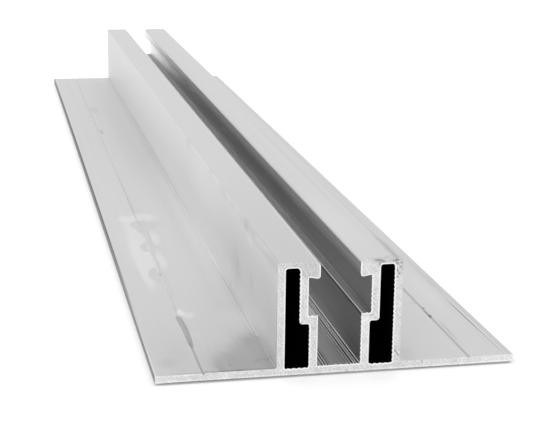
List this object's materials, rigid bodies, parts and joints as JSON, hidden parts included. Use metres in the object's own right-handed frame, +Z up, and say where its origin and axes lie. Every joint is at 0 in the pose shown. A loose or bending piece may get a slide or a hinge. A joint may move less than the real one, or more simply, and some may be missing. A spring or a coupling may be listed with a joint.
{
  "type": "solar mounting rail",
  "caption": "Extruded aluminium rail with a flat base and a T-slot tower between two hollow chambers, with a drill line along each flange.",
  "frame": {"origin": "middle of the underside, halfway along the rail", "axes": "+Y along the rail, +X across the base, +Z up from the underside towards the slot's mouth"},
  "size_m": [0.1, 0.5, 0.0317],
  "materials": {
    "rail": "mill-finish extrusion with sawn ends"
  },
  "bodies": {
    "root": {"rail": "rail"}
  },
  "joints": []
}
